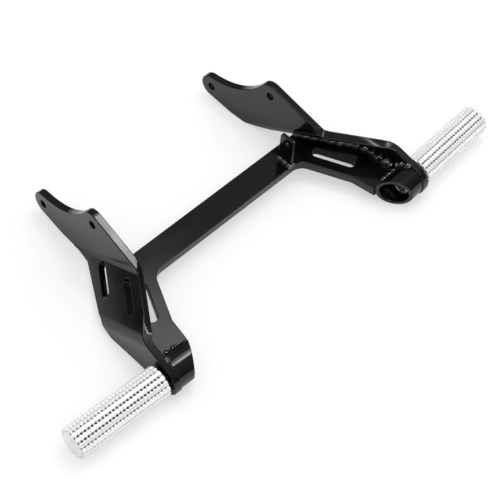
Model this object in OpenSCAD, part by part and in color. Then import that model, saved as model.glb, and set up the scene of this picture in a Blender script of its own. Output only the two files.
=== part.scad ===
// Weld-on rear sets footrest: a flat U-shaped cross plate carries two bent side
// plates, and each side plate carries a serrated footpeg on a welded boss tube.
// The cross plate's top face is level z = 0 while the parts are laid out, its rear
// edge is y = 0, and the pegs lie at -Y. The finished assembly is then tipped and
// lifted, so that it rests on the ground on the ears and the side plates' lower ends.

/* [Side plates] */
// Clear width between the ears, level with the rear edge of the cross plate
ear_gap = 236.4; // [216:1:256]
// Thickness of the side plates
side_t = 8; // [6:0.5:9]
// Angle by which the ears lean in towards each other at their tips
toe_in = 3; // [0:0.5:5]
// Sideways step from the ear to the lower end of a side plate
step_out = 43.2; // [36:0.4:50]
// Angle of both bends
bend_angle = 50; // [44:1:56]
// Inside radius of both bends
bend_r = 7; // [5:0.5:9]
// Slope of the bend lines, seen from the side
bend_slant = 33; // [27:1:39]
// Place of the first bend line, ahead of the rear edge of the cross plate
bend_start = 13; // [9:0.5:17]

/* [Ear] */
// Front mounting hole, ahead of the rear edge of the cross plate
front_hole_y = 109.3; // [102:0.5:116]
// Front mounting hole, below the top face of the cross plate
front_hole_drop = 11.9; // [9:0.5:15]
// Rear mounting hole, ahead of the rear edge of the cross plate
rear_hole_y = 31.8; // [28:0.5:36]
// Rear mounting hole, above the top face of the cross plate
rear_hole_rise = 34.7; // [32:0.5:38]
// Diameter of the mounting holes
mount_hole_d = 8.5; // [6.5:0.5:10.5]
// Radius of the ear's tip about the front hole
tip_r = 13.5; // [12:0.5:15]
// Radius of the shoulder about the rear hole
shoulder_r = 14.5; // [13:0.5:16]
// Radius of the hollow neck between the two
neck_r = 84; // [76:1:110]

/* [Side plate outline] */
// Lowest point of the ear, ahead of the rear edge of the cross plate
belly_y = 60; // [54:1:66]
// Lowest point of the ear, below the top face of the cross plate
belly_drop = 30; // [28:0.5:32]
// Length of the ear's level underside
belly_l = 20; // [12:1:26]
// Front of the waist under the bent stretch, ahead of the rear edge of the cross plate
waist_y = 32; // [26:1:38]
// Front of the waist, below the top face of the cross plate
waist_drop = 19.5; // [18:0.5:22]
// Rear of the waist, ahead of the rear edge of the cross plate
instep_y = -30; // [-33:1:-24]
// Rear of the waist, below the top face of the cross plate
instep_drop = 14; // [13:0.5:17]
// Corner under the second bend, ahead of the rear edge of the cross plate
heel_y = -48; // [-54:1:-45]
// Corner under the second bend, below the top face of the cross plate
heel_drop = 23.5; // [21:0.5:24]
// Radius of the corner under the second bend
heel_r = 9; // [6:0.5:12]
// Start of the lower end, ahead of the rear edge of the cross plate
shin_y = -94; // [-97:1:-86]
// Start of the lower end, below the top face of the cross plate
shin_drop = 18; // [16:0.5:20]
// Top edge of the bent stretch, above the top face of the cross plate
saddle_rise = 31; // [28:0.5:34]
// Slope of the top edge behind the shoulder
top_slope = 15; // [12:1:20]
// Slope of the top edge down to the peg
tail_slope = 15; // [12:1:20]
// Radius of the lower end about the peg
tail_r = 18.5; // [18:0.5:20]
// Angle over which the squared top of the bent stretch runs out into the ear
runout = 12; // [6:1:18]

/* [Lightening slots of a side plate] */
// Width of the slots
side_slot_w = 8.5; // [6:0.5:10]
// Length of the slots, end to end
side_slot_l = 41; // [34:1:46]
// Middle of the lower slot, along the bent stretch
low_slot_y = -2; // [-8:1:4]
// Middle of the lower slot, above the top face of the cross plate
low_slot_z = -4.5; // [-6:0.5:-3]
// Middle of the upper slot, along the bent stretch
top_slot_y = -44; // [-50:1:-38]
// Middle of the upper slot, above the top face of the cross plate
top_slot_z = 18; // [16:0.5:20]

/* [Cross plate] */
// Width of the cross bar
bar_w = 29.5; // [24:0.5:34]
// Thickness of the cross plate
bar_t = 10; // [7:0.5:11]
// Half width of the opening between the arms, at the cross bar
arm_x = 101.3; // [92:0.5:105]
// Angle by which the arms spread
arm_spread = 26; // [23:1:28]
// Length over which the arms spread
arm_l = 56.4; // [52:0.4:62]
// Angle of the arms' ends beyond that length
arm_end_spread = 10; // [0:1:14]
// Radius of the two inside corners
corner_r = 15; // [8:1:18]
// Width of the slot in each arm
arm_slot_w = 11; // [8:0.5:13]
// Length of the slot in each arm, end to end
arm_slot_l = 46; // [38:1:49]
// Distance from the arm's inner edge to the middle of its slot
arm_slot_in = 17.2; // [16:0.1:18]
// Distance from the cross bar to the near end of the slot
arm_slot_start = 7.8; // [4:0.1:10]

/* [Boss tube] */
// Peg axis, behind the rear edge of the cross plate
peg_y = -122.4; // [-128:0.4:-118]
// Peg axis, below the top face of the cross plate
peg_drop = 1.5; // [0:0.5:3]
// Outer diameter of the boss tube
boss_d = 34.2; // [32:0.2:35]
// Bore of the boss tube
boss_bore = 26.8; // [24:0.4:28]
// Length of the boss tube on its axis
boss_l = 25.3; // [23:0.1:27]
// Angle of the boss tube's cut end
boss_mitre = 28.5; // [22:0.5:34]

/* [Footpeg] */
// Length of the footpeg
peg_l = 100; // [84:4:116]
// Diameter over the ribs
peg_d = 32.6; // [30:0.2:34]
// Number of ribs along the peg
rib_n = 16; // [14:1:18]
// Depth of the grooves between the ribs
rib_depth = 1.9; // [1.4:0.1:2.2]
// Width of the flat on top of each rib
rib_flat = 2.4; // [1.8:0.1:2.8]
// Spacing of the rings of notches
notch_pitch = 4; // [4:0.5:6]
// Depth of the notches
notch_depth = 1.2; // [0.8:0.1:1.4]
// Width of a notch at its mouth
notch_w = 1.9; // [1.4:0.1:2.4]
// Depth of the drilled centre mark in the outer end
centre_depth = 1.2; // [0.8:0.2:2]

/* [Bolt, washer and spacer] */
// Diameter of the peg bolt
bolt_d = 12; // [10:1:12]
// Diameter of the bolt head
bolt_head_d = 18; // [17:0.5:19]
// Height of the bolt head
bolt_head_h = 12; // [9:0.5:13]
// Key width across the flats of the bolt's socket
bolt_key = 10; // [8:0.5:10]
// Depth of the socket
bolt_key_depth = 6; // [4:0.5:7]
// How far the bolt reaches into the peg
bolt_reach = 30; // [20:1:40]
// Outer diameter of the washer under the bolt head
washer_d = 23; // [21:0.5:23.5]
// Thickness of the washer
washer_t = 2.5; // [1.5:0.5:3]
// Outer diameter of the spacer between plate and peg
spacer_d = 26; // [24:0.5:28]
// Thickness of the spacer
spacer_t = 4; // [3:0.5:6]

/* [Tab] */
// Distance of the tab's outer face from the middle
tab_x = 88.3; // [80:1:92]
// Thickness of the tab
tab_t = 4; // [3:0.5:5]
// Width of the tab
tab_w = 18; // [15:0.5:21]
// Height of the tab
tab_h = 36.3; // [30:1:40]
// Distance of the tab from the rear edge of the cross plate
tab_back = 10.6; // [4:0.5:11]
// Diameter of the tab's hole
tab_hole_d = 5.5; // [4:0.5:7]
// Distance of the tab's hole from its top
tab_hole_down = 7.5; // [6:0.5:10]
// Radius of the tab's two top corners
tab_corner_r = 2.5; // [1.5:0.5:4]

/* [Welds] */
// Leg of the weld along each arm
arm_weld_leg = 4.5; // [3:0.5:6]
// Leg of the weld round each boss
boss_weld_leg = 3.5; // [2.5:0.5:4]
// Leg of the welds at the arm ends and at the tab
end_weld_leg = 3; // [2:0.5:4]

/* [Fits] */
// Fitting gap between welded pieces
weld_gap = 0.3; // [0.2:0.1:0.6]
// Clearance of the bolt in the side plate and the spacer
bolt_clear = 0.5; // [0.3:0.1:1]
// Clearance of the bolt in the peg's threaded hole
thread_clear = 0.2; // [0.1:0.1:0.4]

/* [Hidden] */
$fn = 48;

black = [0.05, 0.05, 0.055];
silver = [0.86, 0.87, 0.88];
steel = [0.55, 0.56, 0.58];

// A cutting length longer than the part, and a small overcut
far = 400;
over = 1;

// Bends: u runs across the bend lines and falls towards the peg
bend_tan = tan(bend_angle / 2);
u_first = bend_start * sin(bend_slant);
u_second = u_first - step_out / tan(bend_angle);

// Rest: tilt and lift that put the ears' undersides and the lower ends on the ground
rest_span = (belly_y - peg_y) * cos(toe_in) - step_out * sin(toe_in);
rest_drop = belly_drop - peg_drop;
rest_tilt = asin(rest_drop / norm([rest_span, rest_drop]))
    - asin(tail_r / norm([rest_span, rest_drop]));
rest_lift = belly_drop * cos(rest_tilt) - belly_y * cos(toe_in) * sin(rest_tilt);

// Middle of the part's length, once tipped
tip_reach = (front_hole_y * cos(toe_in) + side_t * sin(toe_in)) * cos(rest_tilt)
    + front_hole_drop * sin(rest_tilt) + tip_r;
tail_reach = (peg_y * cos(toe_in) + step_out * sin(toe_in)) * cos(rest_tilt)
    + peg_drop * sin(rest_tilt) - tail_r;
mid_y = (tip_reach + tail_reach) / 2;

// Footpeg
peg_r = peg_d / 2;
peg_x = step_out + side_t + spacer_t;
valley_r = peg_r - rib_depth;
rib_step = 360 / rib_n;
rib_half = asin(rib_flat / 2 / peg_r);
ring_n = floor((peg_l - notch_pitch / 2) / notch_pitch);
tap_d = bolt_d + thread_clear;
tap_spare = 3;
mark_slope = 1.2;

// Sector of the boss that its weld covers, as angles seen from the outer side
boss_weld_from = 18;
boss_weld_to = 78;

// The assembly as it rests on the ground
module resting() {
    translate([0, -mid_y, rest_lift])
        rotate([rest_tilt, 0, 0])
            children();
}

// Places a piece of the right side: x across the plate, y along the ear, z up
module right() {
    resting()
        translate([ear_gap / 2, 0, 0])
            rotate([0, 0, toe_in])
                children();
}

// The same piece on the left side
module left() {
    mirror([1, 0, 0])
        right()
            children();
}

// Turns a flat drawing, x across the plate and y across the bends, along the bend lines
module along_bends() {
    rotate([90 - bend_slant, 0, 0])
        linear_extrude(2 * far, center = true)
            children();
}

// Turns a side view, x along the ear and y up, across the plate
module across_plate(from, to) {
    translate([from, 0, 0])
        rotate([90, 0, 90])
            linear_extrude(to - from)
                children();
}

// All that lies outside the plate's inner face, once that is moved inward
module outside_of_face(inward) {
    first = u_first - (side_t + inward) * bend_tan;
    second = u_second - (side_t + inward) * bend_tan;
    difference() {
        polygon([
            [-inward, far], [-inward, first], [step_out - inward, second],
            [step_out - inward, -far], [far, -far], [far, far]
        ]);
        first_bend_corner(-inward, first, bend_r + side_t + inward);
    }
    second_bend_corner(step_out - inward, second, bend_r - inward);
}

// What the first bend's rounding takes off a sharp corner
module first_bend_corner(x, u, r) {
    run = r * bend_tan;
    difference() {
        polygon([
            [x + r, u + run], [x - over, u + run], [x - 2 * over, u - 2 * over],
            [x + run * sin(bend_angle) - over * cos(bend_angle),
                u - run * cos(bend_angle) - over * sin(bend_angle)]
        ]);
        translate([x + r, u + run])
            circle(r);
    }
}

// What the second bend's rounding adds to a sharp corner
module second_bend_corner(x, u, r) {
    run = r * bend_tan;
    difference() {
        polygon([
            [x - r, u - run], [x + over, u - run], [x + 2 * over, u + 2 * over],
            [x - run * sin(bend_angle) + over * cos(bend_angle),
                u + run * cos(bend_angle) + over * sin(bend_angle)]
        ]);
        translate([x - r, u - run])
            circle(r);
    }
}

// Point where a line from p touches a circle, on the side given by 1 or -1
function touch(c, r, p, side) =
    let (d = p - c, turn = atan2(d[1], d[0]) + side * acos(r / norm(d)))
    c + r * [cos(turn), sin(turn)];

// Centre of a circle of radius r that touches two round ends from above
function neck_centre(a, ra, b, rb, r) =
    let (
        d = b - a, gap = norm(d),
        along = (pow(r + ra, 2) - pow(r + rb, 2) + gap * gap) / (2 * gap),
        rise = sqrt(pow(r + ra, 2) - along * along)
    )
    a + along * d / gap + rise * [-d[1], d[0]] / gap;

// Points along an arc, about every five degrees
function arc(c, r, from, to) =
    let (n = ceil(abs(to - from) / 5))
    [for (i = [0 : n]) c + r * [cos(from + (to - from) * i / n), sin(from + (to - from) * i / n)]];

// Direction from one point to another, between 0 and 360 degrees
function bearing(a, b) =
    let (turn = atan2(b[1] - a[1], b[0] - a[0]))
    turn < 0 ? turn + 360 : turn;

// Points that round the corner b between a and c, where the outline turns left
function rounded_corner(a, b, c, r) =
    let (
        into = bearing(a, b), turn = (bearing(b, c) - into + 360) % 360,
        start = b - r * tan(turn / 2) * [cos(into), sin(into)],
        centre = start + r * [-sin(into), cos(into)]
    )
    arc(centre, r, into - 90, into - 90 + turn);

// Outline of a side plate, seen from the side
module side_outline() {
    front = [front_hole_y, -front_hole_drop];
    rear = [rear_hole_y, rear_hole_rise];
    tail = [peg_y, -peg_drop];
    neck = neck_centre(rear, shoulder_r, front, tip_r, neck_r);
    chin = [belly_y + belly_l, -belly_drop];
    belly = [belly_y, -belly_drop];
    waist = [waist_y, -waist_drop];
    instep = [instep_y, -instep_drop];
    heel = [heel_y, -heel_drop];
    shin = [shin_y, -shin_drop];
    tail_top = tail + tail_r * [-sin(tail_slope), cos(tail_slope)];
    shoulder_top = rear + shoulder_r * [-sin(top_slope), cos(top_slope)];
    polygon([
        each arc(front, tip_r, bearing(front, touch(front, tip_r, chin, 1)) - 360,
            bearing(front, neck)),
        each arc(neck, neck_r, bearing(neck, front), bearing(neck, rear)),
        each arc(rear, shoulder_r, bearing(rear, neck), 90 + top_slope),
        shoulder_top + (saddle_rise - shoulder_top[1]) * [1 / tan(top_slope), 1],
        tail_top + (saddle_rise - tail_top[1]) * [1 / tan(tail_slope), 1],
        each arc(tail, tail_r, 90 + tail_slope, bearing(tail, touch(tail, tail_r, shin, -1))),
        shin, each rounded_corner(shin, heel, instep, heel_r), instep, waist, belly, chin
    ]);
}

// A round hole through a plate, along x
module cross_hole(y, z, d, from, to) {
    translate([from, y, z])
        rotate([0, 90, 0])
            cylinder(h = to - from, d = d);
}

// Stands things square on the outer face of the bent stretch, x down and y level on it
module on_bent_stretch(y, z) {
    u = y * sin(bend_slant) + z * cos(bend_slant);
    lean = acos(sin(bend_angle) * cos(bend_slant));
    turn = atan2(sin(bend_angle) * sin(bend_slant), cos(bend_angle));
    translate([side_t + (u_first - u) * tan(bend_angle), y, z])
        rotate([0, lean, turn])
            children();
}

// A slot with round ends through the bent stretch
module side_slot(y, z) {
    on_bent_stretch(y, z)
        translate([0, 0, -side_t - over])
            linear_extrude(side_t + 2 * over)
                round_slot(side_slot_l, side_slot_w);
}

// What is cut off above the bent stretch, so that its top edge is square to its faces
module square_top() {
    crease_y = (u_first - saddle_rise * cos(bend_slant)) / sin(bend_slant);
    reach = step_out + saddle_rise;
    on_bent_stretch(crease_y, saddle_rise)
        linear_extrude(3 * side_t, center = true)
            polygon([
                [0, 0], reach * [-sin(runout), cos(runout)], [-reach, reach],
                [-reach, -reach], [0, -reach]
            ]);
}

// A flat slot along y with round ends
module round_slot(length, width) {
    square([width, length - width], center = true);
    for (end = [-1, 1])
        translate([0, end * (length - width) / 2])
            circle(d = width);
}

module side_plate() {
    difference() {
        intersection() {
            across_plate(-over, step_out + side_t + over)
                side_outline();
            along_bends()
                difference() {
                    outside_of_face(0);
                    outside_of_face(-side_t);
                }
        }
        cross_hole(front_hole_y, -front_hole_drop, mount_hole_d, -over, side_t + over);
        cross_hole(rear_hole_y, rear_hole_rise, mount_hole_d, -over, side_t + over);
        cross_hole(peg_y, -peg_drop, bolt_d + bolt_clear, step_out - over, step_out + side_t + over);
        side_slot(low_slot_y, low_slot_z);
        side_slot(top_slot_y, top_slot_z);
        square_top();
    }
}

// Half of the cross plate's outline, seen from above
module half_cross_outline() {
    corner = [arm_x, -bar_w];
    arm_way = [sin(arm_spread), -cos(arm_spread)];
    end_way = [sin(arm_end_spread), -cos(arm_end_spread)];
    arm_out = [cos(arm_spread), sin(arm_spread)];
    run = corner_r / tan((90 + arm_spread) / 2);
    slot_near = corner + (arm_slot_start + arm_slot_w / 2) * arm_way + arm_slot_in * arm_out;
    difference() {
        polygon([
            [0, 0], [far, 0], [far, -far], corner + arm_l * arm_way + far * end_way,
            corner + arm_l * arm_way, each arc(corner + [-run, -corner_r], corner_r, arm_spread, 90), [0, -bar_w]
        ]);
        translate(slot_near + (arm_slot_l - arm_slot_w) / 2 * arm_way)
            rotate([0, 0, arm_spread])
                round_slot(arm_slot_l, arm_slot_w);
    }
}

// Cuts from the cross plate what lies outside a side plate or beyond its arm's end
module arm_trim() {
    translate([ear_gap / 2, 0, 0])
        rotate([0, 0, toe_in]) {
            along_bends()
                outside_of_face(weld_gap);
            cross_hole(peg_y, -peg_drop, boss_d + 2 * weld_gap, -far, far);
            translate([-far, peg_y - far, -far])
                cube([2 * far, far, 2 * far]);
        }
}

module cross_plate() {
    color(black)
        resting()
            difference() {
                translate([0, 0, -bar_t])
                    linear_extrude(bar_t) {
                        half_cross_outline();
                        mirror([1, 0])
                            half_cross_outline();
                    }
                arm_trim();
                mirror([1, 0, 0])
                    arm_trim();
            }
}

module tab() {
    color(black)
        resting()
            difference() {
                translate([tab_x, -tab_back - tab_w / 2, 0])
                    rotate([90, 0, 90])
                        linear_extrude(tab_t)
                            tab_outline();
                translate([tab_x - over, -tab_back - tab_w / 2, tab_h - tab_hole_down])
                    rotate([0, 90, 0])
                        cylinder(h = tab_t + 2 * over, d = tab_hole_d);
            }
}

// Outline of the tab: a rectangle with two round corners at its top
module tab_outline() {
    half = tab_w / 2;
    translate([-half, 0])
        square([tab_w, tab_h - tab_corner_r]);
    translate([-half + tab_corner_r, 0])
        square([tab_w - 2 * tab_corner_r, tab_h]);
    for (side = [-1, 1])
        translate([side * (half - tab_corner_r), tab_h - tab_corner_r])
            circle(tab_corner_r);
}

// Weld beads on both faces of the tab's foot
module tab_weld() {
    color(black)
        resting()
            for (side = [0, 1])
                translate([tab_x + side * tab_t, -tab_back, 0])
                    mirror([side, 0, 0])
                        rotate([90, 0, 0])
                            linear_extrude(tab_w)
                                polygon([[0, 0], [-end_weld_leg, 0], [0, end_weld_leg]]);
}

module boss() {
    cut = step_out - boss_l;
    difference() {
        cross_hole(peg_y, -peg_drop, boss_d, 0, step_out);
        cross_hole(peg_y, -peg_drop, boss_bore, -over, step_out + over);
        translate([cut, peg_y, -far / 2])
            rotate([0, 0, boss_mitre])
                translate([-far, -far / 2, 0])
                    cube([far, far, far]);
    }
}

// Outline of the ribbed peg, seen from its end
module rib_star() {
    polygon([
        for (i = [0 : rib_n - 1])
            each [
                peg_r * [cos(i * rib_step - rib_half), sin(i * rib_step - rib_half)],
                peg_r * [cos(i * rib_step + rib_half), sin(i * rib_step + rib_half)],
                valley_r * [cos((i + 0.5) * rib_step), sin((i + 0.5) * rib_step)]
            ]
    ]);
}

// Half section of the notched bar that the ribs are cut from, and the centre mark
module notched_profile() {
    rim = peg_r + over;
    half = notch_w / 2 * (notch_depth + over) / notch_depth;
    floor_r = peg_r - notch_depth;
    polygon([
        [0, 0], [rim, 0],
        for (i = [1 : ring_n])
            each [
                [rim, i * notch_pitch - half], [floor_r, i * notch_pitch],
                [rim, i * notch_pitch + half]
            ],
        [rim, peg_l - half], [floor_r, peg_l],
        [centre_depth * mark_slope, peg_l], [0, peg_l - centre_depth]
    ]);
}

module peg() {
    difference() {
        intersection() {
            across_plate(peg_x, peg_x + peg_l)
                translate([peg_y, -peg_drop])
                    rotate([0, 0, 90])
                        rib_star();
            translate([peg_x, peg_y, -peg_drop])
                rotate([0, 90, 0])
                    rotate_extrude($fn = 96)
                        notched_profile();
        }
        cross_hole(peg_y, -peg_drop, tap_d, peg_x - over, peg_x + bolt_reach + tap_spare);
    }
}

// A flat ring round the peg's axis
module ring(from, thickness, outer, bore) {
    difference() {
        cross_hole(peg_y, -peg_drop, outer, from, from + thickness);
        cross_hole(peg_y, -peg_drop, bore, from - over, from + thickness + over);
    }
}

module bolt() {
    seat = step_out - washer_t;
    difference() {
        union() {
            cross_hole(peg_y, -peg_drop, bolt_head_d, seat - bolt_head_h, seat);
            cross_hole(peg_y, -peg_drop, bolt_d, seat - over, peg_x + bolt_reach);
        }
        translate([seat - bolt_head_h - over, peg_y, -peg_drop])
            rotate([0, 90, 0])
                cylinder(h = bolt_key_depth + over, d = bolt_key / cos(30), $fn = 6);
    }
}

// Weld along the outer edge of an arm, against the side plate
module arm_weld() {
    first = (u_first - side_t * bend_tan) / sin(bend_slant);
    second = (u_second - side_t * bend_tan) / sin(bend_slant);
    near = peg_y + boss_d / 2 + boss_weld_leg + end_weld_leg;
    difference() {
        linear_extrude(arm_weld_leg)
            intersection() {
                polygon([
                    [-arm_weld_leg, far], [-arm_weld_leg, first], [step_out - arm_weld_leg, second],
                    [step_out - arm_weld_leg, -far], [far, -far], [far, far]
                ]);
                translate([-far / 2, near])
                    square([far, -over - near]);
            }
        along_bends()
            outside_of_face(0);
    }
}

// Weld round the upper front of a boss, against the side plate
module boss_weld() {
    intersection() {
        translate([step_out, peg_y, -peg_drop])
            rotate([0, -90, 0])
                rotate_extrude()
                    polygon([
                        [boss_d / 2, 0], [boss_d / 2 + boss_weld_leg, 0], [boss_d / 2, boss_weld_leg]
                    ]);
        across_plate(0, step_out + over)
            translate([peg_y, -peg_drop])
                polygon([
                    [0, 0], boss_d * [cos(boss_weld_from), sin(boss_weld_from)], boss_d * [1, 1],
                    boss_d * [cos(boss_weld_to), sin(boss_weld_to)]
                ]);
    }
}

// Weld that fills the corner between an arm's end and the boss tube
module arm_end_weld() {
    near = boss_d / 2;
    cut = step_out - boss_l;
    difference() {
        translate([cut, peg_y, 0])
            rotate([90, 0, 90])
                linear_extrude(boss_l - boss_weld_leg)
                    polygon([
                        [0, 0], [near + end_weld_leg, 0], [near - over, end_weld_leg], [0, end_weld_leg]
                    ]);
        cross_hole(peg_y, -peg_drop, boss_d, -over, step_out + over);
    }
}

module left_side_plate() {
    color(black) left() side_plate();
}
module right_side_plate() {
    color(black) right() side_plate();
}
module left_boss() {
    color(black) left() boss();
}
module right_boss() {
    color(black) right() boss();
}
module left_peg() {
    color(silver) left() peg();
}
module right_peg() {
    color(silver) right() peg();
}
module left_spacer() {
    color(black) left() ring(step_out + side_t, spacer_t, spacer_d, bolt_d + bolt_clear);
}
module right_spacer() {
    color(black) right() ring(step_out + side_t, spacer_t, spacer_d, bolt_d + bolt_clear);
}
module left_bolt() {
    color(steel) left() bolt();
}
module right_bolt() {
    color(steel) right() bolt();
}
module left_washer() {
    color(steel) left() ring(step_out - washer_t, washer_t, washer_d, bolt_d + bolt_clear);
}
module right_washer() {
    color(steel) right() ring(step_out - washer_t, washer_t, washer_d, bolt_d + bolt_clear);
}
module left_arm_weld() {
    color(black) left() arm_weld();
}
module right_arm_weld() {
    color(black) right() arm_weld();
}
module left_boss_weld() {
    color(black) left() boss_weld();
}
module right_boss_weld() {
    color(black) right() boss_weld();
}
module left_arm_end_weld() {
    color(black) left() arm_end_weld();
}
module right_arm_end_weld() {
    color(black) right() arm_end_weld();
}

cross_plate();
tab();
left_side_plate();
right_side_plate();
left_boss();
right_boss();
left_peg();
right_peg();
left_spacer();
right_spacer();
left_bolt();
right_bolt();
left_washer();
right_washer();
left_arm_weld();
right_arm_weld();
left_boss_weld();
right_boss_weld();
left_arm_end_weld();
right_arm_end_weld();
tab_weld();
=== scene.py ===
import bmesh
import bpy
import math
from mathutils import Matrix, Vector


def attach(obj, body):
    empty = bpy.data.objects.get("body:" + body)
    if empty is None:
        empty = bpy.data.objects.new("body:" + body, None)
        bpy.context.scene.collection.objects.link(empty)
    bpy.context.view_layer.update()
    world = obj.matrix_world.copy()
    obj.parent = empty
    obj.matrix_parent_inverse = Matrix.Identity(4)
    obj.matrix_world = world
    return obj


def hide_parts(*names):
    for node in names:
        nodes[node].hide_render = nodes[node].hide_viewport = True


print("stage 1: the packed frame")
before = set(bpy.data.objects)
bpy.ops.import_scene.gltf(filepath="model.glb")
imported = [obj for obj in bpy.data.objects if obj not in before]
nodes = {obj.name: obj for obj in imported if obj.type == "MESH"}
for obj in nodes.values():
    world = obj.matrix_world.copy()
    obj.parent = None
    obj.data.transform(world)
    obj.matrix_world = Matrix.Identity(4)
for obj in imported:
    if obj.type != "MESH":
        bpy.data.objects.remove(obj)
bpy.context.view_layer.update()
mm = 0.001

# The plates were laid out level, then tipped and lifted to lie on the ground
layout = dict(earGap=236.4, toeIn=3.0, tilt=3.1728, lift=26.638, middle=-7.322)


def layoutPoint(x, y, z):
    # mm in the level layout, to metres on the ground
    turned = Matrix.Rotation(math.radians(layout["tilt"]), 3, "X") @ Vector((x, y, z))
    return (turned + Vector((0, -layout["middle"], layout["lift"]))) * mm


def sidePoint(x, y, z, side):
    # mm in a side plate's own directions: across it, along it and up
    turned = Matrix.Rotation(math.radians(layout["toeIn"]), 3, "Z") @ Vector((x, y, z))
    return layoutPoint(side * (turned.x + layout["earGap"] / 2), turned.y, turned.z)


def sideMatrix(side):
    # the same for a whole shape that is built in mm
    origin = sidePoint(0, 0, 0, side)
    axes = [sidePoint(*axis, side) - origin for axis in ((1, 0, 0), (0, 1, 0), (0, 0, 1))]
    return Matrix.Translation(origin) @ Matrix(axes).transposed().to_4x4()


print("stage 2: camera")
# place and reach in metres, turn in degrees, lens and sensor in mm
photoCamera = dict(place=(-0.67127, -0.65494, 1.15824), turn=(37.779, -1.931, -45.575),
                   lens=106.89, sensor=36, reach=20)

cameraData = bpy.data.cameras.new("photoCamera")
cameraData.lens = photoCamera["lens"]
cameraData.sensor_width = photoCamera["sensor"]
cameraData.clip_end = photoCamera["reach"]
camera = bpy.data.objects.new("photoCamera", cameraData)
camera.location = photoCamera["place"]
camera.rotation_euler = [math.radians(angle) for angle in photoCamera["turn"]]
bpy.context.scene.collection.objects.link(camera)
bpy.context.scene.camera = camera
bpy.context.scene.view_settings.view_transform = "Standard"

print("stage 3: materials")
noiseSpan = (0.3, 0.7)     # nearly all of a noise's values lie between these


def startMaterial(name):
    material = bpy.data.materials.new(name)
    material.use_nodes = True
    tree = material.node_tree
    tree.nodes.clear()
    shader = tree.nodes.new("ShaderNodeBsdfPrincipled")
    output = tree.nodes.new("ShaderNodeOutputMaterial")
    tree.links.new(shader.outputs["BSDF"], output.inputs["Surface"])
    where = tree.nodes.new("ShaderNodeTexCoord")
    return material, tree, shader, where.outputs["Object"]


def addNoise(tree, where, scale, detail):
    noise = tree.nodes.new("ShaderNodeTexNoise")
    noise.inputs["Scale"].default_value = scale
    noise.inputs["Detail"].default_value = detail
    tree.links.new(where, noise.inputs["Vector"])
    return noise.outputs["Fac"]


def addRange(tree, value, lowest, highest, toLowest, toHighest):
    ramp = tree.nodes.new("ShaderNodeMapRange")
    limits = {"From Min": lowest, "From Max": highest, "To Min": toLowest, "To Max": toHighest}
    for name, number in limits.items():
        ramp.inputs[name].default_value = number
    tree.links.new(value, ramp.inputs["Value"])
    return ramp.outputs["Result"]


def addMix(tree, share, first, second):
    mix = tree.nodes.new("ShaderNodeMix")
    mix.data_type = "RGBA"
    mix.inputs["A"].default_value = (*first, 1)
    mix.inputs["B"].default_value = (*second, 1)
    tree.links.new(share, mix.inputs["Factor"])
    return mix.outputs["Result"]


def addBump(tree, height, strength, distance, under=None):
    bump = tree.nodes.new("ShaderNodeBump")
    bump.inputs["Strength"].default_value = strength
    bump.inputs["Distance"].default_value = distance
    tree.links.new(height, bump.inputs["Height"])
    if under:
        tree.links.new(under, bump.inputs["Normal"])
    return bump.outputs["Normal"]


# Gloss black powder coat: a faint orange peel, a slow change in gloss, a few dust specks
powderCoat = dict(colour=(0.0022, 0.0022, 0.0026), dust=(0.06, 0.06, 0.063), dustScale=520,
                  dustStart=0.80, dustFull=0.86, gloss=(0.09, 0.17), cloudScale=34,
                  refraction=1.5, tint=(0.96, 0.96, 1), peelScale=620, peelStrength=0.10,
                  peelDepth=0.00012, waveScale=30, waveStrength=0.05, waveDepth=0.0008)
# Heat and bending leave the side plates a little wavy
wavyCoat = dict(powderCoat, waveScale=38, waveStrength=0.12, waveDepth=0.001)


def makePowderCoat(name, look):
    material, tree, shader, where = startMaterial(name)
    peel = addNoise(tree, where, look["peelScale"], detail=2)
    cloud = addNoise(tree, where, look["cloudScale"], detail=4)
    dust = addNoise(tree, where, look["dustScale"], detail=1)
    waves = addNoise(tree, where, look["waveScale"], detail=1)
    specks = addRange(tree, dust, look["dustStart"], look["dustFull"], 0, 1)
    tree.links.new(addMix(tree, specks, look["colour"], look["dust"]), shader.inputs["Base Color"])
    tree.links.new(addRange(tree, cloud, *noiseSpan, *look["gloss"]), shader.inputs["Roughness"])
    wavy = addBump(tree, waves, look["waveStrength"], look["waveDepth"])
    peeled = addBump(tree, peel, look["peelStrength"], look["peelDepth"], wavy)
    tree.links.new(peeled, shader.inputs["Normal"])
    shader.inputs["IOR"].default_value = look["refraction"]
    shader.inputs["Specular Tint"].default_value = (*look["tint"], 1)
    return material


# Weld metal under the same coat, thicker and more uneven, so that it glints
weldCoat = dict(powderCoat, colour=(0.0028, 0.0028, 0.0032), dust=(0.03, 0.03, 0.032), dustScale=700,
                gloss=(0.03, 0.08), cloudScale=160, refraction=2.7, tint=(0.98, 0.98, 1),
                peelScale=380, peelStrength=0.15, peelDepth=0.0002,
                waveScale=200, waveStrength=0.4, waveDepth=0.0006)

# Bright satin peg alloy, with painted shade: the colour darkens at the bottom of each pit and, more
# faintly, along the grooves
pegAlloy = dict(bright=(0.93, 0.932, 0.935), grey=(0.86, 0.863, 0.87), greyStart=0.35, greyFull=0.75,
                pit=(0.10, 0.10, 0.105), pitShadeStart=0.12, pitShadeFull=0.5, gloss=(0.26, 0.40),
                metal=0.35, pitMetal=1, grainScale=260, grainStrength=0.08, grainDepth=0.0001)


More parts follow.
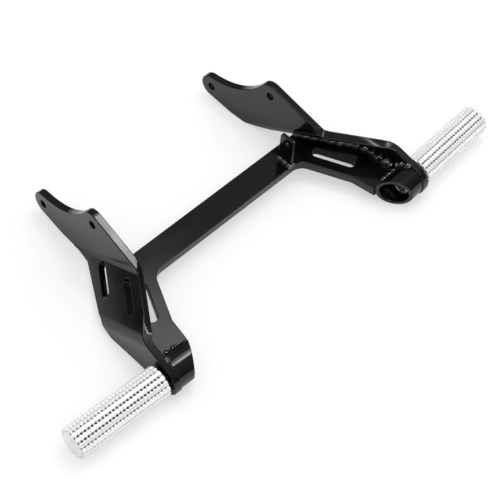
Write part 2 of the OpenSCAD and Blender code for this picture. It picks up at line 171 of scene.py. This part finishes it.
def makePegAlloy(name, look):
    material, tree, shader, where = startMaterial(name)
    grain = addNoise(tree, where, look["grainScale"], detail=5)
    greyer = addRange(tree, grain, look["greyStart"], look["greyFull"], 0, 1)
    clean = addMix(tree, greyer, look["bright"], look["grey"])
    # the pit attribute holds painted shade, and where it runs high the colour is darkened to the pit colour
    depth = tree.nodes.new("ShaderNodeAttribute")
    depth.attribute_name = "pit"
    pitShadedColour = tree.nodes.new("ShaderNodeMix")
    pitShadedColour.data_type = "RGBA"
    pitShadeMask = addRange(tree, depth.outputs["Fac"], look["pitShadeStart"], look["pitShadeFull"], 0, 1)
    tree.links.new(pitShadeMask, pitShadedColour.inputs["Factor"])
    tree.links.new(clean, pitShadedColour.inputs["A"])
    pitShadedColour.inputs["B"].default_value = (*look["pit"], 1)
    tree.links.new(pitShadedColour.outputs["Result"], shader.inputs["Base Color"])
    tree.links.new(addRange(tree, grain, *noiseSpan, *look["gloss"]), shader.inputs["Roughness"])
    tree.links.new(addBump(tree, grain, look["grainStrength"], look["grainDepth"]), shader.inputs["Normal"])
    tree.links.new(addRange(tree, pitShadeMask, 0, 1, look["metal"], look["pitMetal"]), shader.inputs["Metallic"])
    return material


# Oiled steel of the bolt and washer inside each tube, worn bright where the noise runs high
boltSteel = dict(dark=(0.42, 0.42, 0.425), worn=(0.62, 0.62, 0.63), wornStart=0.5, wornFull=0.75,
                 gloss=(0.14, 0.24), grainScale=210, grainStrength=0.08, grainDepth=0.0001)


def makeBoltSteel(name, look):
    material, tree, shader, where = startMaterial(name)
    grain = addNoise(tree, where, look["grainScale"], detail=4)
    worn = addRange(tree, grain, look["wornStart"], look["wornFull"], 0, 1)
    tree.links.new(addMix(tree, worn, look["dark"], look["worn"]), shader.inputs["Base Color"])
    tree.links.new(addRange(tree, grain, *noiseSpan, *look["gloss"]), shader.inputs["Roughness"])
    tree.links.new(addBump(tree, grain, look["grainStrength"], look["grainDepth"]), shader.inputs["Normal"])
    shader.inputs["Metallic"].default_value = 1
    return material


coatMaterial = makePowderCoat("glossBlackPowderCoat", powderCoat)
weldMaterial = makePowderCoat("coatedWeldMetal", weldCoat)
pegMaterial = makePegAlloy("brightSatinAlloy", pegAlloy)
wavyMaterial = makePowderCoat("wavyBlackPowderCoat", wavyCoat)
boltMaterial = makeBoltSteel("blackenedSteel", boltSteel)

print("stage 4: plates and tubes with soft edges")


def softNormals(mesh, limit=50):
    # each corner leans towards the large faces round it: flats stay flat and soft edges run smooth
    shape = bmesh.new()
    shape.from_mesh(mesh)
    least = math.cos(math.radians(limit))
    corners = []
    for face in shape.faces:
        for loop in face.loops:
            total = Vector()
            for other in loop.vert.link_faces:
                if face.normal.dot(other.normal) > least:
                    total += other.normal * other.calc_area() ** 2
            corners.append(total.normalized())
    shape.free()
    mesh.polygons.foreach_set("use_smooth", [True] * len(mesh.polygons))
    mesh.normals_split_custom_set(corners)


def addPiece(name, shape, material, replaced, soften=True):
    mesh = bpy.data.meshes.new(name)
    shape.to_mesh(mesh)
    shape.free()
    mesh.materials.append(material)
    if soften:
        softNormals(mesh)
    piece = bpy.data.objects.new(name, mesh)
    bpy.context.scene.collection.objects.link(piece)
    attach(piece, "root")
    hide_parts(*replaced)


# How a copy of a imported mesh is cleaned, in mm and degrees, and how many faces round each edge
cleaning = dict(doubles=0.002, flat=0.6, sliver=0.05, edgeFaces=3)
# Edge radius in mm, the smallest fold in degrees that counts as an edge, the finish and its slot
softEdges = {
    "cross_plate": dict(radius=0.9, fold=35, finish=coatMaterial, slot="black_paint"),
    "tab": dict(radius=0.6, fold=35, finish=coatMaterial, slot="black_paint"),
    "side_plate": dict(radius=1.0, fold=35, finish=wavyMaterial, slot="black_paint"),
    "boss": dict(radius=0.7, fold=35, finish=coatMaterial, slot="black_paint"),
    "spacer": dict(radius=0.5, fold=35, finish=coatMaterial, slot="black_paint"),
    "bolt": dict(radius=0.8, fold=35, finish=boltMaterial, slot="bolt_steel"),
    "washer": dict(radius=0.3, fold=35, finish=boltMaterial, slot="bolt_steel"),
}


def softCopy(nodeName, look):
    shape = bmesh.new()
    shape.from_mesh(nodes[nodeName].data)
    bmesh.ops.remove_doubles(shape, verts=shape.verts, dist=cleaning["doubles"] * mm)
    bmesh.ops.dissolve_limit(shape, angle_limit=math.radians(cleaning["flat"]),
                             verts=shape.verts, edges=shape.edges)
    bmesh.ops.dissolve_degenerate(shape, edges=shape.edges, dist=cleaning["sliver"] * mm)
    folds = [edge for edge in shape.edges
             if len(edge.link_faces) == 2 and edge.calc_face_angle() > math.radians(look["fold"])]
    bmesh.ops.bevel(shape, geom=folds, offset=look["radius"] * mm, offset_type="OFFSET", affect="EDGES",
                    segments=cleaning["edgeFaces"], profile=0.5, material=-1, clamp_overlap=False)
    return shape


for pieceName, look in softEdges.items():
    bothSides = (pieceName, "left_" + pieceName, "right_" + pieceName)
    for nodeName in [name for name in nodes if name in bothSides]:
        addPiece(nodeName + "_finished", softCopy(nodeName, look), look["finish"], [nodeName])

print("stage 5: pegs")
# Ribs with grooves between them, rings of notches, and a pit at each crossing. Lengths in mm;
# ribs, stepsPerRib and rings are counts, grooveShade is the share of painted shade the grooves get, and
# sharp is in degrees
pegShape = dict(start=55.14, along=-122.4, up=-1.5, length=100, radius=16.3, ribs=16, stepsPerRib=12,
                rings=400, grooveDepth=2.2, grooveHalf=1.15, grooveShade=0.22, notchPitch=4,
                notchHalf=1.0, notchDepth=0.25, notchSpread=0.5, pitHalf=1.2, pitDepth=1.8,
                cleanEnd=0.1, markRadius=1.5, markDepth=1.2, sharp=48)


def pegPoint(along, angle, look):
    # distance from the axis in mm, and how much painted shade lies there, from 0 to 1
    rib = math.tau / look["ribs"]
    across = abs(angle % rib - rib / 2) * look["radius"]
    ring = max(round(along / look["notchPitch"]), 1)
    beside = abs(along - ring * look["notchPitch"])
    notch = max(0, 1 - (beside / look["notchHalf"]) ** 2)
    groove = max(0, 1 - (across / (look["grooveHalf"] + look["notchSpread"] * notch)) ** 2)
    pit = max(0, 1 - (across ** 2 + beside ** 2) / look["pitHalf"] ** 2)
    cut = max(look["grooveDepth"] * groove, look["notchDepth"] * notch) + look["pitDepth"] * pit
    return look["radius"] - cut, max(pit, look["grooveShade"] * groove)


def pegPiece(side, look):
    shape = bmesh.new()
    segments = look["ribs"] * look["stepsPerRib"]
    bmesh.ops.create_cone(shape, cap_ends=True, segments=segments, radius1=look["radius"],
                          radius2=look["radius"], depth=look["length"],
                          matrix=Matrix.Translation((0, 0, look["length"] / 2)))
    lengthwise = [edge for edge in shape.edges if abs(edge.verts[0].co.z - edge.verts[1].co.z) > 1]
    bmesh.ops.subdivide_edges(shape, edges=lengthwise, cuts=look["rings"] - 1, use_grid_fill=True)
    # each vertex keeps the painted shade of its pit or groove in the pit attribute, left off at the very
    # ends
    depth = shape.verts.layers.float.new("pit")
    for vert in shape.verts:
        distance, pit = pegPoint(vert.co.z, math.atan2(vert.co.y, vert.co.x), look)
        vert.co.xy *= distance / look["radius"]
        vert[depth] = pit if look["cleanEnd"] < vert.co.z < look["length"] - look["cleanEnd"] else 0
    # the centre mark in the outer end
    outerEnd = [face for face in shape.faces if face.normal.z > 0.9 and len(face.verts) == segments]
    mark = bmesh.ops.extrude_face_region(shape, geom=outerEnd)["geom"]
    bmesh.ops.delete(shape, geom=outerEnd, context="FACES_ONLY")
    bmesh.ops.scale(shape, vec=(look["markRadius"] / look["radius"],) * 2 + (1,),
                    verts=[item for item in mark if isinstance(item, bmesh.types.BMVert)])
    bmesh.ops.poke(shape, faces=[item for item in mark if isinstance(item, bmesh.types.BMFace)],
                   offset=-look["markDepth"])
    # from mm about the peg's own axis to the side's directions
    standing = Matrix(((0, 0, 1), (1, 0, 0), (0, 1, 0))).to_4x4()
    place = Matrix.Translation((look["start"], look["along"], look["up"]))
    shape.transform(sideMatrix(side) @ place @ standing)
    bmesh.ops.recalc_face_normals(shape, faces=shape.faces)
    for face in shape.faces:
        face.smooth = True
    for edge in shape.edges:
        edge.smooth = edge.calc_face_angle(0) < math.radians(look["sharp"])
    return shape


for sideName, side in (("left_", -1), ("right_", 1)):
    addPiece(sideName + "ribbed_peg", pegPiece(side, pegShape), pegMaterial,
             [sideName + "peg"], soften=False)

print("stage 6: weld beads")
# A bead is a row of overlapping drops of metal. Step in mm, lean and around in degrees,
# and each point of a path is x, y, z and the drops' radius there
armBead = dict(step=2.7, squash=0.60, lean=30, wobble=0.22,
               path=((4.6, -1.5, 0, 3.2), (9, -8, 0, 4.4), (15, -19, 0, 4.4), (20, -27, 0, 3.4),
                     (27, -38, 0, 5.6), (40.8, -57.5, 0, 6.4), (43.0, -66, 0, 6.2), (43.2, -97.6, 0, 6.2)))
bossBead = dict(step=2.2, squash=0.60, lean=30, wobble=0.25, around=(18, 78), bends=12,
                across=43.2, reach=17.6, radius=3.8)
endBead = dict(step=2.7, squash=0.58, lean=40, wobble=0.35, start=20.5, end=38.5, along=-105.3, radius=3.1)
tabBead = dict(step=2.1, squash=0.60, lean=30, wobble=0.25, inner=88.3, outer=92.3,
               near=-11.6, far=-27.6, radius=3.4)
# The drops grow and shrink in two waves, the same each time the script runs
unevenness = dict(pace=1.9, drift=0.7, driftPace=3.1)


def addRun(bead, points, look):
    # drops along a line through the points, each one leaning back on the one before
    places = [Vector(point[:3]) for point in points]
    lengths = [(b - a).length for a, b in zip(places, places[1:])]
    count = round(sum(lengths) / look["step"])
    for i in range(count + 1):
        left = sum(lengths) * i / count
        k = 0
        while k < len(lengths) - 1 and left > lengths[k]:
            left -= lengths[k]
            k += 1
        share = left / lengths[k]
        size = points[k][3] * (1 - share) + points[k + 1][3] * share
        drift = unevenness["drift"] * math.sin(i * unevenness["driftPace"])
        size *= 1 + look["wobble"] * math.sin(i * unevenness["pace"] + drift)
        way = (places[k + 1] - places[k]).normalized()
        turn = way.to_track_quat("X", "Z").to_matrix().to_4x4()
        lean = Matrix.Rotation(math.radians(look["lean"]), 4, "Y")
        shape = Matrix.Diagonal((size * look["squash"], size, size, 1))
        bmesh.ops.create_icosphere(bead, subdivisions=2, radius=1,
                                   matrix=Matrix.Translation(places[k] + way * left) @ turn @ lean @ shape)


def addBead(name, runs, look, place, replaced):
    bead = bmesh.new()
    for points in runs:
        addRun(bead, points, look)
    bead.transform(place)
    bmesh.ops.recalc_face_normals(bead, faces=bead.faces)
    addPiece(name, bead, weldMaterial, [replaced])


def bossRun(look):
    first, last = look["around"]
    angles = [math.radians(first + (last - first) * i / look["bends"]) for i in range(look["bends"] + 1)]
    return [(look["across"], pegShape["along"] + look["reach"] * math.cos(angle),
             pegShape["up"] + look["reach"] * math.sin(angle), look["radius"]) for angle in angles]


def endRun(look):
    return [(look[end], look["along"], 0, look["radius"]) for end in ("start", "end")]


def tabRun(look, face):
    return [(look[face], look[end], 0, look["radius"]) for end in ("near", "far")]


for sideName, side in (("left_", -1), ("right_", 1)):
    place = sideMatrix(side)
    addBead(sideName + "arm_bead", [armBead["path"]], armBead, place, sideName + "arm_weld")
    addBead(sideName + "boss_bead", [bossRun(bossBead)], bossBead, place, sideName + "boss_weld")
    addBead(sideName + "arm_end_bead", [endRun(endBead)], endBead, place, sideName + "arm_end_weld")
level = Matrix.Translation(layoutPoint(0, 0, 0)) @ Matrix.Rotation(math.radians(layout["tilt"]), 4, "X")
addBead("tab_beads", [tabRun(tabBead, "inner"), tabRun(tabBead, "outer")], tabBead,
        level @ Matrix.Scale(mm, 4), "tab_weld")

print("stage 7: floor, world and lamps")
# nearShade and farShade are the floor's painted shade as glossy rays see it, near the middle and far out
studio = dict(floorColour=0.90, floorFade=(0.01, 0.01, 0.008), paperScale=6, floorHalf=4.0,
              floorRoughness=0.9, floorGloss=0.2, floorGlow=0.5, nearShade=0.80, farShade=0.05,
              nearReach=0.25, farReach=1.25, skyForCamera=1.0, skyForLight=0.82,
              skyLow=0.06, skyHigh=0.32, skyTop=0.8)


def makeFloor(look):
    shape = bmesh.new()
    bmesh.ops.create_grid(shape, x_segments=1, y_segments=1, size=look["floorHalf"])
    mesh = bpy.data.meshes.new("paleFloor")
    shape.to_mesh(mesh)
    shape.free()
    floor = bpy.data.objects.new("paleFloor", mesh)
    bpy.context.scene.collection.objects.link(floor)
    material, tree, shader, where = startMaterial("paleFloorPaper")
    paper = addNoise(tree, where, look["paperScale"], detail=3)
    pale = addMix(tree, addRange(tree, paper, *noiseSpan, 0, 1), [look["floorColour"]] * 3,
                  [look["floorColour"] - fade for fade in look["floorFade"]])
    # painted shade in reflections: glossy rays see the floor less bright, and darker still with distance
    # from the middle
    ray = tree.nodes.new("ShaderNodeLightPath")
    distance = tree.nodes.new("ShaderNodeVectorMath")
    distance.operation = "LENGTH"
    tree.links.new(where, distance.inputs[0])
    paintedReflectionShade = addRange(tree, distance.outputs["Value"], look["nearReach"], look["farReach"],
                        look["nearShade"], look["farShade"])
    colour = tree.nodes.new("ShaderNodeMix")
    colour.data_type = "RGBA"
    tree.links.new(ray.outputs["Is Glossy Ray"], colour.inputs["Factor"])
    tree.links.new(pale, colour.inputs["A"])
    tree.links.new(paintedReflectionShade, colour.inputs["B"])
    tree.links.new(colour.outputs["Result"], shader.inputs["Base Color"])
    shader.inputs["Roughness"].default_value = look["floorRoughness"]
    shader.inputs["Specular IOR Level"].default_value = look["floorGloss"]
    # the camera sees it lifted towards white, with the soft shadow left in
    white = tree.nodes.new("ShaderNodeEmission")
    lifted = tree.nodes.new("ShaderNodeMixShader")
    glow = addRange(tree, ray.outputs["Is Camera Ray"], 0, 1, 0, look["floorGlow"])
    tree.links.new(glow, lifted.inputs["Fac"])
    tree.links.new(shader.outputs["BSDF"], lifted.inputs[1])
    tree.links.new(white.outputs["Emission"], lifted.inputs[2])
    output = [node for node in tree.nodes if node.type == "OUTPUT_MATERIAL"][0]
    tree.links.new(lifted.outputs["Shader"], output.inputs["Surface"])
    mesh.materials.append(material)


def makeWorld(look):
    world = bpy.data.worlds.new("softStudio")
    bpy.context.scene.world = world
    world.use_nodes = True
    tree = world.node_tree
    tree.nodes.clear()
    output = tree.nodes.new("ShaderNodeOutputWorld")
    direction = tree.nodes.new("ShaderNodeTexCoord")
    height = tree.nodes.new("ShaderNodeSeparateXYZ")
    tree.links.new(direction.outputs["Generated"], height.inputs["Vector"])
    reflected = tree.nodes.new("ShaderNodeBackground")
    tree.links.new(addRange(tree, height.outputs["Z"], 0, look["skyTop"], look["skyLow"], look["skyHigh"]),
                   reflected.inputs["Strength"])
    lighting = tree.nodes.new("ShaderNodeBackground")
    lighting.inputs["Strength"].default_value = look["skyForLight"]
    seen = tree.nodes.new("ShaderNodeBackground")
    seen.inputs["Strength"].default_value = look["skyForCamera"]
    for background in (reflected, lighting, seen):
        background.inputs["Color"].default_value = (1, 1, 1, 1)
    ray = tree.nodes.new("ShaderNodeLightPath")
    first = tree.nodes.new("ShaderNodeMixShader")
    second = tree.nodes.new("ShaderNodeMixShader")
    tree.links.new(ray.outputs["Is Glossy Ray"], first.inputs["Fac"])
    tree.links.new(lighting.outputs["Background"], first.inputs[1])
    tree.links.new(reflected.outputs["Background"], first.inputs[2])
    tree.links.new(ray.outputs["Is Camera Ray"], second.inputs["Fac"])
    tree.links.new(first.outputs["Shader"], second.inputs[1])
    tree.links.new(seen.outputs["Background"], second.inputs[2])
    tree.links.new(second.outputs["Shader"], output.inputs["Surface"])


# Each lamp hangs level: its place in metres, its two sides, and its power in watts
lamps = {
    "overheadSoftbox": dict(place=(0.18, 0.21, 1.6), size=(0.96, 0.86), power=5.8),
    "brightStrip": dict(place=(0.53, -0.08, 1.58), size=(0.19, 0.44), power=2.7),
    "rightGlint": dict(place=(1.02, -0.50, 1.6), size=(0.12, 0.12), power=2.2),
    "frontGlint": dict(place=(0.10, -0.75, 1.6), size=(0.09, 0.09), power=1.5),
    "bendGlint": dict(place=(-0.63, -1.32, 1.6), size=(0.34, 0.34), power=4.4),
}


def addLamp(name, look):
    lampData = bpy.data.lights.new(name, "AREA")
    lampData.shape = "RECTANGLE"
    lampData.size, lampData.size_y = look["size"]
    lampData.energy = look["power"]
    lamp = bpy.data.objects.new(name, lampData)
    lamp.location = look["place"]
    bpy.context.scene.collection.objects.link(lamp)


makeFloor(studio)
makeWorld(studio)
for name, look in lamps.items():
    addLamp(name, look)
